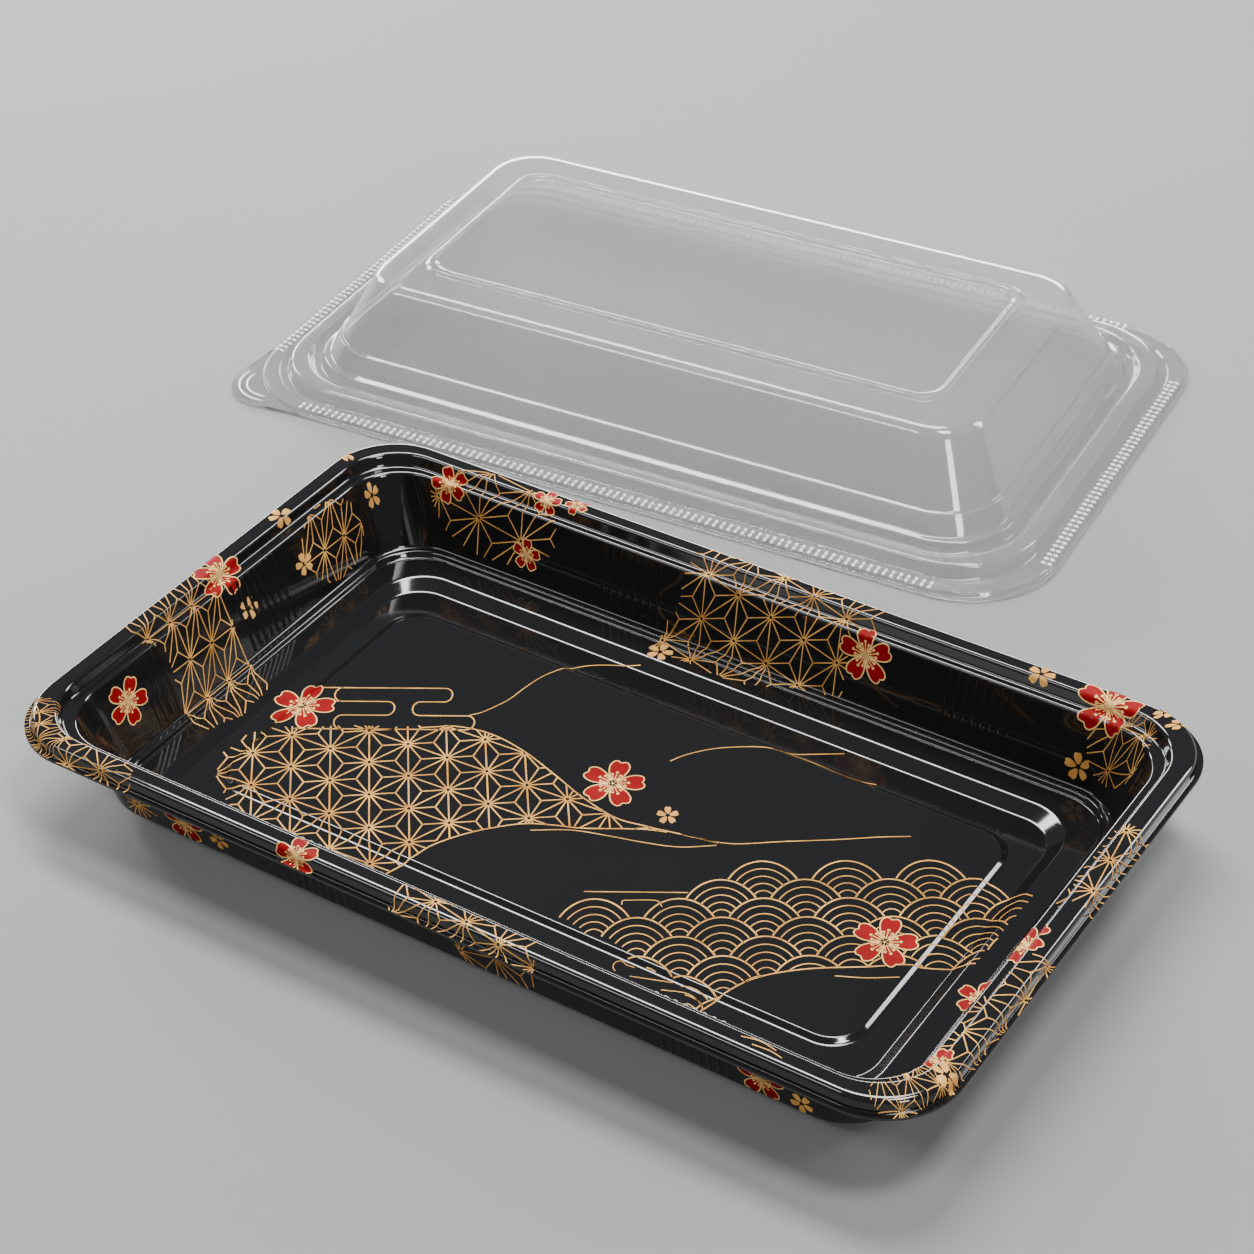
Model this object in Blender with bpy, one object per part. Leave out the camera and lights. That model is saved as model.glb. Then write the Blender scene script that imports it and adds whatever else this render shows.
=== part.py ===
"""Takeaway tray with its separate clear lid, in metres, +Z up.

The tray is a shallow black sheet shell. Its clear lid lies dome up on the table behind it.
Both are swept sections: one list of bends, read from the middle out, carried round a rounded
rectangle. The origin is the middle of the pair's footprint, on the table.
"""
import math

import bmesh
import bpy

mm = 0.001

# outer sizes, at the edge of the tray's rim and of the lid's flange
length = 240.0 * mm
width = 147.0 * mm
tray_height = 26.0 * mm
lid_height = 30.0 * mm

# sheet thickness
tray_sheet = 0.6 * mm
lid_sheet = 0.5 * mm

# the lid's place beside the tray, from the tray's middle, and its turn on the table
lid_offset = (-78.0 * mm, 178.0 * mm)
lid_turn = math.radians(5.0)

# the round thumb tab on the lid's front left corner
tab_radius = 12.0 * mm
tab_inset = 10.5 * mm

# facets in each corner of a loop
corner_facets = 6

# tray section from the middle out: inset from the rim along X, inset along Y, height of the
# upper surface, corner radius seen from above, radius of the bend
tray_section = [
    (35.2 * mm, 34.8 * mm, 1.4 * mm, 8.0 * mm, 0.0),
    (33.9 * mm, 33.5 * mm, 0.6 * mm, 9.0 * mm, 0.0),
    (27.8 * mm, 25.4 * mm, 0.6 * mm, 10.0 * mm, 0.9 * mm),
    (24.6 * mm, 21.0 * mm, 2.4 * mm, 12.0 * mm, 0.9 * mm),
    (18.6 * mm, 14.8 * mm, 2.4 * mm, 13.0 * mm, 0.8 * mm),
    (17.9 * mm, 14.1 * mm, 3.8 * mm, 13.5 * mm, 0.0),
    (16.3 * mm, 12.5 * mm, 3.8 * mm, 14.5 * mm, 0.8 * mm),
    (9.5 * mm, 9.5 * mm, tray_height - 3.2 * mm, 14.5 * mm, 0.8 * mm),
    (7.2 * mm, 7.2 * mm, tray_height - 3.2 * mm, 15.2 * mm, 0.0),
    (6.2 * mm, 6.2 * mm, tray_height, 15.6 * mm, 0.8 * mm),
    (1.7 * mm, 1.7 * mm, tray_height, 17.4 * mm, 1.0 * mm),
    (1.2 * mm, 1.2 * mm, tray_height - 3.0 * mm, 17.8 * mm, 0.0),
    (0.0 * mm, 0.0 * mm, tray_height - 3.0 * mm, 18.6 * mm, 0.0),
]

# lid section in the same form, with one inset for both directions
lid_section = [
    (44.0 * mm, 44.0 * mm, lid_height - 0.7 * mm, 6.0 * mm, 0.0),
    (43.0 * mm, 43.0 * mm, lid_height, 6.6 * mm, 0.0),
    (41.6 * mm, 41.6 * mm, lid_height, 7.2 * mm, 0.0),
    (40.6 * mm, 40.6 * mm, lid_height - 0.7 * mm, 7.8 * mm, 0.0),
    (29.6 * mm, 29.6 * mm, lid_height - 0.7 * mm, 13.0 * mm, 3.0 * mm),
    (20.6 * mm, 20.6 * mm, 11.0 * mm, 16.5 * mm, 0.0),
    (19.8 * mm, 19.8 * mm, 10.8 * mm, 17.0 * mm, 0.0),
    (17.4 * mm, 17.4 * mm, 5.6 * mm, 18.0 * mm, 0.7 * mm),
    (15.8 * mm, 15.8 * mm, 5.2 * mm, 18.8 * mm, 0.0),
    (14.8 * mm, 14.8 * mm, 2.6 * mm, 19.4 * mm, 0.7 * mm),
    (13.2 * mm, 13.2 * mm, 2.6 * mm, 20.2 * mm, 0.7 * mm),
    (12.0 * mm, 12.0 * mm, 4.8 * mm, 20.8 * mm, 0.9 * mm),
    (8.0 * mm, 8.0 * mm, 4.8 * mm, 22.6 * mm, 1.2 * mm),
    (7.0 * mm, 7.0 * mm, 1.0 * mm, 23.0 * mm, 0.7 * mm),
    (5.2 * mm, 5.2 * mm, 1.0 * mm, 23.8 * mm, 0.0),
    (4.8 * mm, 4.8 * mm, 1.5 * mm, 24.0 * mm, 0.0),
    (1.7 * mm, 1.7 * mm, 1.5 * mm, 25.0 * mm, 0.0),
    (1.2 * mm, 1.2 * mm, lid_sheet, 25.4 * mm, 0.0),
    (0.0 * mm, 0.0 * mm, lid_sheet, 26.0 * mm, 0.0),
]


def rounded_section(section):
    """The section with each bend that has a radius cut to a short flat between its arc's ends."""
    points = []
    for index, (inset_x, inset_y, height, corner, radius) in enumerate(section):
        if radius == 0.0:
            points.append((inset_x, inset_y, height, corner))
            continue
        before = section[index - 1]
        after = section[index + 1]
        run_in = math.hypot(inset_x - before[0], height - before[2])
        run_out = math.hypot(after[0] - inset_x, after[2] - height)
        heading_in = math.atan2(height - before[2], before[0] - inset_x)
        heading_out = math.atan2(after[2] - height, inset_x - after[0])
        tangent = radius * abs(math.tan(0.5 * (heading_out - heading_in)))
        for other, share in ((before, tangent / run_in), (after, tangent / run_out)):
            share = min(share, 0.45)
            here = (inset_x, inset_y, height, corner)
            points.append(tuple(a + (b - a) * share for a, b in zip(here, other[:4])))
    return points


def under_section(points, sheet):
    """The lower surface: every point moved one sheet thickness square to the section."""
    lower = []
    last = len(points) - 1
    for index, (inset_x, inset_y, height, corner) in enumerate(points):
        normals = []
        for start, end in ((index - 1, index), (index, index + 1)):
            if start < 0 or end > last:
                continue
            out = 0.5 * (points[start][0] + points[start][1] - points[end][0] - points[end][1])
            rise = points[end][2] - points[start][2]
            size = math.hypot(out, rise)
            normals.append((rise / size, -out / size))
        out = sum(normal[0] for normal in normals)
        rise = sum(normal[1] for normal in normals)
        size = math.hypot(out, rise)
        out, rise = out / size, rise / size
        reach = sheet / (out * normals[0][0] + rise * normals[0][1])
        shift = out * reach
        lower.append((inset_x - shift, inset_y - shift, height + rise * reach, corner + shift))
    return lower


def corner_points(centre, radius, start):
    """One rounded corner, counter-clockwise from the angle start."""
    for step in range(corner_facets + 1):
        angle = start + 0.5 * math.pi * step / corner_facets
        yield (centre[0] + radius * math.cos(angle), centre[1] + radius * math.sin(angle))


def loop_points(inset_x, inset_y, corner, with_tab):
    """A rounded rectangle seen from above; the tab takes the place of its front left corner."""
    half_x = 0.5 * length - inset_x - corner
    half_y = 0.5 * width - inset_y - corner
    points = []
    for quarter, (side_x, side_y) in enumerate(((1, 1), (-1, 1), (-1, -1), (1, -1))):
        start = 0.5 * math.pi * quarter
        centre = (side_x * half_x, side_y * half_y)
        if with_tab and quarter == 2:
            middle = (-0.5 * length + tab_inset, -0.5 * width + tab_inset)
            for step in range(corner_facets + 1):
                angle = math.pi * (0.86 + 0.78 * step / corner_facets)
                points.append((middle[0] + tab_radius * math.cos(angle),
                               middle[1] + tab_radius * math.sin(angle)))
        else:
            points.extend(corner_points(centre, corner, start))
    return points


def shell(name, section, sheet, tab_rows, colour, roughness, alpha):
    """A closed sheet shell swept round the rounded rectangle, as one object."""
    upper = rounded_section(section)
    lower = under_section(upper, sheet)
    rows = upper + lower[::-1]
    edge_rows = range(len(upper) - tab_rows, len(upper) + tab_rows)
    mesh_data = bmesh.new()
    loops = []
    for index, (inset_x, inset_y, height, corner) in enumerate(rows):
        outline = loop_points(inset_x, inset_y, corner, index in edge_rows)
        loops.append([mesh_data.verts.new((x, y, height)) for x, y in outline])
    for inner, outer in zip(loops, loops[1:]):
        for index in range(len(inner)):
            following = (index + 1) % len(inner)
            mesh_data.faces.new((inner[index], outer[index], outer[following], inner[following]))
    mesh_data.faces.new(loops[0])
    mesh_data.faces.new(loops[-1][::-1])
    bmesh.ops.recalc_face_normals(mesh_data, faces=mesh_data.faces)
    mesh = bpy.data.meshes.new(name)
    mesh_data.to_mesh(mesh)
    mesh_data.free()
    mesh.materials.append(plastic(name, colour, roughness, alpha))
    mesh.shade_smooth()
    mesh.set_sharp_from_angle(angle=math.radians(25.0))
    piece = bpy.data.objects.new(name, mesh)
    bpy.context.scene.collection.objects.link(piece)
    return piece


def plastic(name, colour, roughness, alpha):
    """A Principled plastic; alpha below one makes it see-through."""
    material = bpy.data.materials.new(name)
    material.use_nodes = True
    shader = material.node_tree.nodes["Principled BSDF"]
    shader.inputs["Base Color"].default_value = (*colour, 1.0)
    shader.inputs["Roughness"].default_value = roughness
    shader.inputs["Metallic"].default_value = 0.0
    shader.inputs["Alpha"].default_value = alpha
    material.diffuse_color = (*colour, alpha)
    return material


def centre_on_footprint(pieces):
    """Move the pieces together so that the middle of their footprint is the origin."""
    bpy.context.view_layer.update()
    corners = [piece.matrix_world @ vertex.co for piece in pieces for vertex in piece.data.vertices]
    for axis in (0, 1):
        places = [corner[axis] for corner in corners]
        middle = 0.5 * (min(places) + max(places))
        for piece in pieces:
            piece.location[axis] -= middle


def main():
    for old in list(bpy.data.objects):
        bpy.data.objects.remove(old)
    tray = shell("tray", tray_section, tray_sheet, 0, (0.012, 0.012, 0.013), 0.12, 1.0)
    lid = shell("lid", lid_section, lid_sheet, 1, (0.86, 0.88, 0.88), 0.05, 0.3)
    lid.location = (lid_offset[0], lid_offset[1], 0.0)
    lid.rotation_euler = (0.0, 0.0, lid_turn)
    centre_on_footprint((tray, lid))


main()
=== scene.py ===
import math

import bmesh
import bpy
import numpy as np
from mathutils import Matrix, Vector


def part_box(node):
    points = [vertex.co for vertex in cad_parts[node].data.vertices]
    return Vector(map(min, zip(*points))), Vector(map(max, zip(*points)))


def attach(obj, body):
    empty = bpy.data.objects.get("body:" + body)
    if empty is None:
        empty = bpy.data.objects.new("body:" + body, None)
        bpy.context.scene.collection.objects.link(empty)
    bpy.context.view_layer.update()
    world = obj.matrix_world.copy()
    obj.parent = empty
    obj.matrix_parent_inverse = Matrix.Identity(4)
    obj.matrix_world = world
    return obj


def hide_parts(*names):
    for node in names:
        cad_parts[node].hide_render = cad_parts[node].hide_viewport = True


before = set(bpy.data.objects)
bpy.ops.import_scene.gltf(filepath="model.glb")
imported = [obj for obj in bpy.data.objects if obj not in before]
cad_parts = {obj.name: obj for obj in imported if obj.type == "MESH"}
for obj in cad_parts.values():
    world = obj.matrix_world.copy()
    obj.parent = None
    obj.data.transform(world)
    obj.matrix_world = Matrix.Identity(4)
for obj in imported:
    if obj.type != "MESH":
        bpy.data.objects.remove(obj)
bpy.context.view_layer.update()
mm = 0.001
print("frame loaded:", sorted(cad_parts))

# places that everything is worked out from
trayLow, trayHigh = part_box("tray")
trayMiddle = 0.5 * (Vector(trayLow) + Vector(trayHigh))
trayMiddle.z = 0.0
trayLength = trayHigh[0] - trayLow[0]
trayWidth = trayHigh[1] - trayLow[1]
trayHeight = trayHigh[2]
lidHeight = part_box("lid")[1][2]


def makeObject(name, data):
    made = bpy.data.objects.new(name, data)
    bpy.context.scene.collection.objects.link(made)
    return made


def turnedTo(place, side, up, back):
    # a matrix that puts an object's own X, Y and Z along side, up and back
    return Matrix.Translation(place) @ Matrix((side, up, back)).transposed().to_4x4()


# camera
cameraValues = {
    "aim": (-34.8 * mm, 61.8 * mm, 0.6 * mm),  # from the tray's middle
    "turn": 33.46,  # degrees round the tray, from its front long side
    "height": 36.86,  # degrees above the table
    "roll": -1.06,
    "distance": 748.6 * mm,
    "lens": 85.9,
    "sensorWidth": 36.0,
    "clipStart": 0.01,
}


def makeCamera(values):
    turn, height, roll = (math.radians(values[name]) for name in ("turn", "height", "roll"))
    back = Vector((math.sin(turn) * math.cos(height), -math.cos(turn) * math.cos(height),
                   math.sin(height)))
    level = Vector((math.cos(turn), math.sin(turn), 0.0))
    upright = back.cross(level)
    right = math.cos(roll) * level + math.sin(roll) * upright
    up = math.cos(roll) * upright - math.sin(roll) * level
    data = bpy.data.cameras.new("camera")
    data.lens = values["lens"]
    data.sensor_width = values["sensorWidth"]
    data.clip_start = values["clipStart"]
    camera = makeObject("camera", data)
    place = trayMiddle + Vector(values["aim"]) + back * values["distance"]
    camera.matrix_world = turnedTo(place, right, up, back)
    bpy.context.scene.camera = camera


makeCamera(cameraValues)
print("camera set")


# node building
class Signal:
    # one output socket, with arithmetic that adds Math nodes
    def __init__(self, tree, socket):
        self.tree = tree
        self.socket = socket

    def __add__(self, other):
        return self.tree.math("ADD", self, other)

    def __radd__(self, other):
        return self.tree.math("ADD", other, self)

    def __sub__(self, other):
        return self.tree.math("SUBTRACT", self, other)

    def __mul__(self, other):
        return self.tree.math("MULTIPLY", self, other)

    def __rmul__(self, other):
        return self.tree.math("MULTIPLY", other, self)


class NodeSheet:
    # a node tree; every node comes from make()
    def __init__(self, tree):
        self.tree = tree

    def make(self, kind, settings=None, inputs=None, output=0):
        node = self.tree.nodes.new(kind)
        for name, value in (settings or {}).items():
            setattr(node, name, value)
        for name, value in (inputs or {}).items():
            if isinstance(value, Signal):
                self.tree.links.new(value.socket, node.inputs[name])
            else:
                node.inputs[name].default_value = value
        return Signal(self, node.outputs[output]) if node.outputs else node

    def math(self, operation, left, right):
        return self.make("ShaderNodeMath", {"operation": operation}, {0: left, 1: right})


class MaterialSheet(NodeSheet):
    # a new material, whose textures all lie in its object's own coordinates
    def __init__(self, name):
        self.material = bpy.data.materials.new(name)
        self.material.use_nodes = True
        super().__init__(self.material.node_tree)
        self.tree.nodes.clear()
        self.place = self.make("ShaderNodeTexCoord", output="Object")

    def noise(self, scale, detail):
        return self.make("ShaderNodeTexNoise", None,
                         {"Vector": self.place, "Scale": scale, "Detail": detail})

    def relief(self, height, strength, depth):
        return self.make("ShaderNodeBump", None,
                         {"Strength": strength, "Distance": depth, "Height": height})

    def blend(self, share, first, second):
        return self.make("ShaderNodeMix", {"data_type": "RGBA"},
                         {0: share, 6: (*first, 1.0), 7: (*second, 1.0)}, output=2)

    def finish(self, inputs):
        shader = self.make("ShaderNodeBsdfPrincipled", None, inputs)
        self.make("ShaderNodeOutputMaterial", None, {"Surface": shader})
        return self.material


# materials: a noise is given by its scale and detail, a relief by its strength and depth
blackValues = {
    "colour": (0.0055, 0.0055, 0.0058),
    "refraction": 1.53,
    "roughness": 0.06,
    "roughnessSpread": 0.05,
    "floorRoughness": 0.08,  # the base is a little more satin than the walls
    "floorTop": (4.2 * mm, 2.8 * mm),  # the heights between which that changes
    "cloud": (38.0, 3.0),
    "cloudMiddle": 0.45,
    "waves": (55.0, 1.0),
    "relief": (0.2, 0.04 * mm),
}


def blackPlastic(values):
    sheet = MaterialSheet("blackPlastic")
    height = sheet.make("ShaderNodeSeparateXYZ", None, {0: sheet.place}, output="Z")
    above, below = values["floorTop"]
    low = sheet.make("ShaderNodeMapRange", {"clamp": True},
                     {"Value": height, "From Min": above, "From Max": below})
    cloud = sheet.noise(*values["cloud"])
    roughness = values["roughness"] + values["roughnessSpread"] * (cloud - values["cloudMiddle"])
    roughness = roughness + low * (values["floorRoughness"] - values["roughness"])
    waves = sheet.noise(*values["waves"])
    return sheet.finish({
        "Base Color": (*values["colour"], 1.0), "Roughness": roughness, "IOR": values["refraction"],
        "Normal": sheet.relief(waves, *values["relief"])})


inkColours = {
    # light and dark colour, roughness and gloss
    "goldInk": ((0.72, 0.40, 0.11), (0.40, 0.19, 0.045), 0.5, 0.06),
    "redInk": ((0.23, 0.004, 0.005), (0.16, 0.002, 0.003), 0.45, 0.05),
    "paleInk": ((0.78, 0.52, 0.20), (0.60, 0.36, 0.12), 0.5, 0.06),
}
inkValues = {
    "cloud": (120.0, 4.0),
    "darkBelow": 0.4,
    "contrast": 3.0,
    "roughnessSpread": 0.12,
    "grain": (2600.0, 1.0),
    "relief": (0.15, 0.02 * mm),
}


def inkMaterial(name, values):
    light, dark, roughness, gloss = inkColours[name]
    sheet = MaterialSheet(name)
    cloud = sheet.noise(*values["cloud"])
    share = (cloud - values["darkBelow"]) * values["contrast"]
    return sheet.finish({
        "Base Color": sheet.blend(share, dark, light),
        "Roughness": roughness + values["roughnessSpread"] * (cloud - 0.5),
        "Specular IOR Level": gloss,
        "Normal": sheet.relief(sheet.noise(*values["grain"]), *values["relief"])})


clearValues = {
    "colour": (0.90, 0.915, 0.915),
    "refraction": 1.49,
    "clearness": 0.93,  # the rest is a faint haze
    "bodyFacing": 0.92,  # how much of the sheet shows where it faces the viewer
    "bodySlanting": 1.0,
    "roughness": 0.02,
    "roughnessSpread": 0.05,
    "cloud": (22.0, 2.0),
    "relief": (0.2, 0.05 * mm),
}


def clearPlastic(values):
    sheet = MaterialSheet("clearPlastic")
    cloud = sheet.noise(*values["cloud"])
    slant = sheet.make("ShaderNodeLayerWeight", None, {"Blend": 0.5}, output="Facing")
    return sheet.finish({
        "Base Color": (*values["colour"], 1.0),
        "Roughness": values["roughness"] + values["roughnessSpread"] * cloud,
        "IOR": values["refraction"], "Transmission Weight": values["clearness"],
        "Alpha": values["bodyFacing"] + (values["bodySlanting"] - values["bodyFacing"]) * slant,
        "Normal": sheet.relief(cloud, *values["relief"])})


beadPaintedGlintValues = {
    "dark": (0.80, 0.82, 0.82),
    "light": (0.98, 0.98, 0.98),
    "refraction": 1.49,
    "clearness": 0.12,  # painted highlight: the beads are whitish and mostly opaque, so that they show as a white row of glints
    "roughness": 0.12,
    "roughnessSpread": 0.1,
    "cloud": (300.0, 2.0),
}


# painted highlight: a whitish, mostly opaque sheet that stands in for the glints on the lid's clear beads
# and tab ridges
def beadPaintedGlint(values):
    sheet = MaterialSheet("beadPaintedGlint")
    cloud = sheet.noise(*values["cloud"])
    return sheet.finish({
        "Base Color": sheet.blend(cloud, values["dark"], values["light"]),
        "Roughness": values["roughness"] + values["roughnessSpread"] * cloud,
        "IOR": values["refraction"], "Transmission Weight": values["clearness"]})


blackSheet = blackPlastic(blackValues)
goldInk = inkMaterial("goldInk", inkValues)
redInk = inkMaterial("redInk", inkValues)
paleInk = inkMaterial("paleInk", inkValues)
clearSheet = clearPlastic(clearValues)
beadPaintedGlintSheet = beadPaintedGlint(beadPaintedGlintValues)
print("materials made")


# sections
# a bend: inset from the edge along X and, where it differs, along Y, height of the upper surface,
# corner radius seen from above, radius of the bend; only the height is in metres
def makeSection(bends):
    return [(insets[0] * mm, insets[-1] * mm, height, corner * mm, radius * mm)
            for *insets, height, corner, radius in bends]


def traySection():
    ledge = trayHeight - 3.2 * mm
    flange = trayHeight - 3.0 * mm
    return makeSection([
        (35.2, 34.8, 1.4 * mm, 8.0, 1.8), (33.9, 33.5, 0.6 * mm, 9.0, 1.8),
        (27.8, 25.4, 0.6 * mm, 10.0, 1.2), (24.6, 21.0, 2.4 * mm, 12.0, 1.5),
        (18.6, 14.8, 2.4 * mm, 13.0, 0.8), (17.9, 14.1, 3.8 * mm, 13.5, 0.8),
        (16.3, 12.5, 3.8 * mm, 14.5, 0.9), (9.5, ledge, 14.5, 1.0), (7.2, ledge, 15.2, 0.9),
        (6.2, trayHeight, 15.6, 1.1), (1.7, trayHeight, 17.4, 1.4), (1.2, flange, 17.8, 0.35),
        (0.0, flange, 18.6, 0.0),
    ])


def lidSection():
    top = lidHeight - 0.7 * mm
    return makeSection([
        (44.0, top, 6.0, 0.4), (43.0, lidHeight, 6.6, 0.5), (41.6, lidHeight, 7.2, 0.5),
        (40.6, top, 7.8, 0.4), (29.6, top, 13.0, 4.5), (20.6, 11.0 * mm, 16.5, 0.4),
        (19.8, 10.8 * mm, 17.0, 0.4), (17.4, 5.6 * mm, 18.0, 0.6), (15.8, 5.2 * mm, 18.8, 0.6),
        (14.8, 2.6 * mm, 19.4, 0.6), (13.2, 2.6 * mm, 20.2, 0.6), (12.0, 4.8 * mm, 20.8, 0.9),
        (8.0, 4.8 * mm, 22.6, 1.3), (7.0, 1.0 * mm, 23.0, 0.6), (5.2, 1.0 * mm, 23.8, 0.2),
        (4.8, 1.5 * mm, 24.0, 0.2), (1.7, 1.5 * mm, 25.0, 0.2), (1.2, 0.5 * mm, 25.4, 0.3),
        (0.0, 0.5 * mm, 26.0, 0.0),
    ])


shellValues = {
    "arcSteps": 5,  # in each bend
    "largestArc": 0.42,  # share of a flat that one arc may take
    "support": 0.12 * mm,
    "cornerSteps": 18,
    "sideSteps": (0.004, 0.25, 0.5, 0.75, 0.996),
    "sharpFrom": math.radians(50.0),
}


def fineRows(section, values):
    # every bend becomes an arc, and every flat gets a row close to each end to keep its shading flat
    arcSteps, support = values["arcSteps"], values["support"]
    bends = np.array([bend[:4] for bend in section])
    flats = []
    for index, bend in enumerate(section):
        here = bends[index]
        if bend[4] == 0.0 or index in (0, len(section) - 1):
            flats.append([here])
            continue
        towards = bends[index - 1] - here
        away = bends[index + 1] - here
        lengthIn = math.hypot(towards[0], towards[2])
        lengthOut = math.hypot(away[0], away[2])
        cosine = -(towards[0] * away[0] + towards[2] * away[2]) / (lengthIn * lengthOut)
        tangent = bend[4] * math.tan(0.5 * math.acos(max(-1.0, min(1.0, cosine))))
        start = here + towards * min(tangent / lengthIn, values["largestArc"])
        end = here + away * min(tangent / lengthOut, values["largestArc"])
        steps = [step / arcSteps for step in range(arcSteps + 1)]
        flats.append([(1 - t) ** 2 * start + 2 * t * (1 - t) * here + t * t * end for t in steps])
    middle = flats[0][0] + np.array([support, support, 0.0, 0.0]) * 3.0
    rows = [middle, flats[0][0]]
    for arc in flats[1:]:
        gap = math.hypot(arc[0][0] - rows[-1][0], arc[0][2] - rows[-1][2])
        if gap > 4.0 * support:
            first, last = rows[-1], arc[0]
            rows.append(first + (last - first) * support / gap)
            rows.append(last - (last - first) * support / gap)
        rows.extend(arc)
    return np.array(rows)


def underRows(rows, sheet):
    # the lower surface, one sheet thickness square to the upper one
    run = -0.5 * np.diff(rows[:, 0] + rows[:, 1])
    rise = np.diff(rows[:, 2])
    size = np.hypot(run, rise)
    normals = np.stack([rise / size, -run / size], -1)
    first = np.vstack([normals[:1], normals])
    last = np.vstack([normals, normals[-1:]])
    middle = first + last
    middle /= np.linalg.norm(middle, axis=1)[:, None]
    reach = sheet / np.maximum((middle * first).sum(1), 0.5)
    shift = middle[:, 0] * reach
    lower = rows.copy()
    lower[:, 0] -= shift
    lower[:, 1] -= shift
    lower[:, 2] += middle[:, 1] * reach
    lower[:, 3] = np.maximum(lower[:, 3] + shift, 0.5 * mm)
    return lower


def outlineColumns(row, size, values, tab):
    # one loop of points round the rounded rectangle, counter-clockwise from the right side's end
    halfX = 0.5 * size[0] - row[0] - row[3]
    halfY = 0.5 * size[1] - row[1] - row[3]
    points = []
    for quarter, (sideX, sideY) in enumerate(((1, 1), (-1, 1), (-1, -1), (1, -1))):
        if tab and quarter == 2:
            centre = [-0.5 * span + tab["inset"] for span in size]
            radius, start, swing = tab["radius"], tab["start"], tab["swing"]
        else:
            centre = (sideX * halfX, sideY * halfY)
            radius, start, swing = row[3], 0.5 * math.pi * quarter, 0.5 * math.pi
        for step in range(values["cornerSteps"] + 1):
            angle = start + swing * step / values["cornerSteps"]
            points.append((centre[0] + radius * math.cos(angle), centre[1] + radius * math.sin(angle)))
        for share in values["sideSteps"]:
            if quarter in (0, 2):
                points.append((sideX * halfX * (1 - 2 * share), sideY * (row[3] + halfY)))
            else:
                points.append((sideX * (row[3] + halfX), sideY * halfY * (1 - 2 * share)))
    return points


def stackFaces(levels, count, start=0):
    # the faces between closed loops of count points each, with both ends capped
    last = start + (levels - 1) * count
    faces = []
    for low in range(start, last, count):
        for column in range(count):
            following = (column + 1) % count
            faces.append((low + column, low + count + column, low + count + following, low + following))
    faces.append(tuple(range(start, start + count)))
    faces.append(tuple(reversed(range(last, last + count))))
    return faces


def solidMesh(name, vertices, faces):
    # a smooth closed mesh with its faces turned outwards
    mesh = bpy.data.meshes.new(name)
    mesh.from_pydata(vertices, [], faces)
    shape = bmesh.new()
    shape.from_mesh(mesh)
    bmesh.ops.recalc_face_normals(shape, faces=shape.faces)
    shape.to_mesh(mesh)
    shape.free()
    mesh.shade_smooth()
    return mesh


def sweptMesh(name, rows, lower, size, values, tab=None):
    # the section carried round the rounded rectangle; a tab grows from the two rows at the edge
    stack = np.vstack([rows, lower[::-1]])
    edge = (len(rows) - 1, len(rows))
    vertices = []
    for index, row in enumerate(stack):
        outline = outlineColumns(row, size, values, tab if index in edge else None)
        vertices += [(x, y, row[2]) for x, y in outline]
    mesh = solidMesh(name, vertices, stackFaces(len(stack), len(outline)))
    mesh.set_sharp_from_angle(angle=values["sharpFrom"])
    return mesh


def addPiece(name, mesh, material, place, slot, *nodes):
    # the place goes into the mesh, so the object sits at the origin
    mesh.transform(place)
    mesh.materials.clear()
    mesh.materials.append(material)
    piece = makeObject(name, mesh)
    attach(piece, "root")
    if nodes:
        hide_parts(*nodes)
    return piece


# tray
trayValues = {"sheet": 0.6 * mm}
trayPlace = Matrix.Translation(trayMiddle)
trayRows = fineRows(traySection(), shellValues)
trayUnder = underRows(trayRows, trayValues["sheet"])
trayMesh = sweptMesh("traySkin", trayRows, trayUnder, (trayLength, trayWidth), shellValues)
addPiece("traySkin", trayMesh, blackSheet, trayPlace, "tray", "tray")
print("tray made:", len(trayMesh.polygons), "faces")


# lid
lidValues = {
    "offset": (-78.0 * mm, 178.0 * mm),  # from the tray's middle
    "turn": 5.0,  # degrees
    "sheet": 0.5 * mm,
    "trim": 0.3 * mm,  # keeps the round corners inside the faceted solid
    "tab": {"radius": 12.0 * mm, "inset": 10.5 * mm,
            "start": math.radians(154.8), "swing": math.radians(140.4)},
}
lidMiddle = trayMiddle + Vector((*lidValues["offset"], 0.0))
lidPlace = Matrix.Translation(lidMiddle) @ Matrix.Rotation(math.radians(lidValues["turn"]), 4, "Z")
lidRows = fineRows(lidSection(), shellValues)
lidUnder = underRows(lidRows, lidValues["sheet"])
lidSize = (trayLength - lidValues["trim"], trayWidth - lidValues["trim"])
lidMesh = sweptMesh("lidSkin", lidRows, lidUnder, lidSize, shellValues, lidValues["tab"])
addPiece("lidSkin", lidMesh, clearSheet, lidPlace, "lid", "lid")

ridgeValues = {
    "reaches": (9.6 * mm, 7.4 * mm),  # from the middle of the thumb tab
    "thick": 0.35 * mm,
    "endShare": 0.25,  # thickness left at the ends
    "height": 0.75 * mm,
    "start": math.radians(165.6),
    "swing": math.radians(118.8),
    "sides": 8,
    "steps": 28,
}


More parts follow.
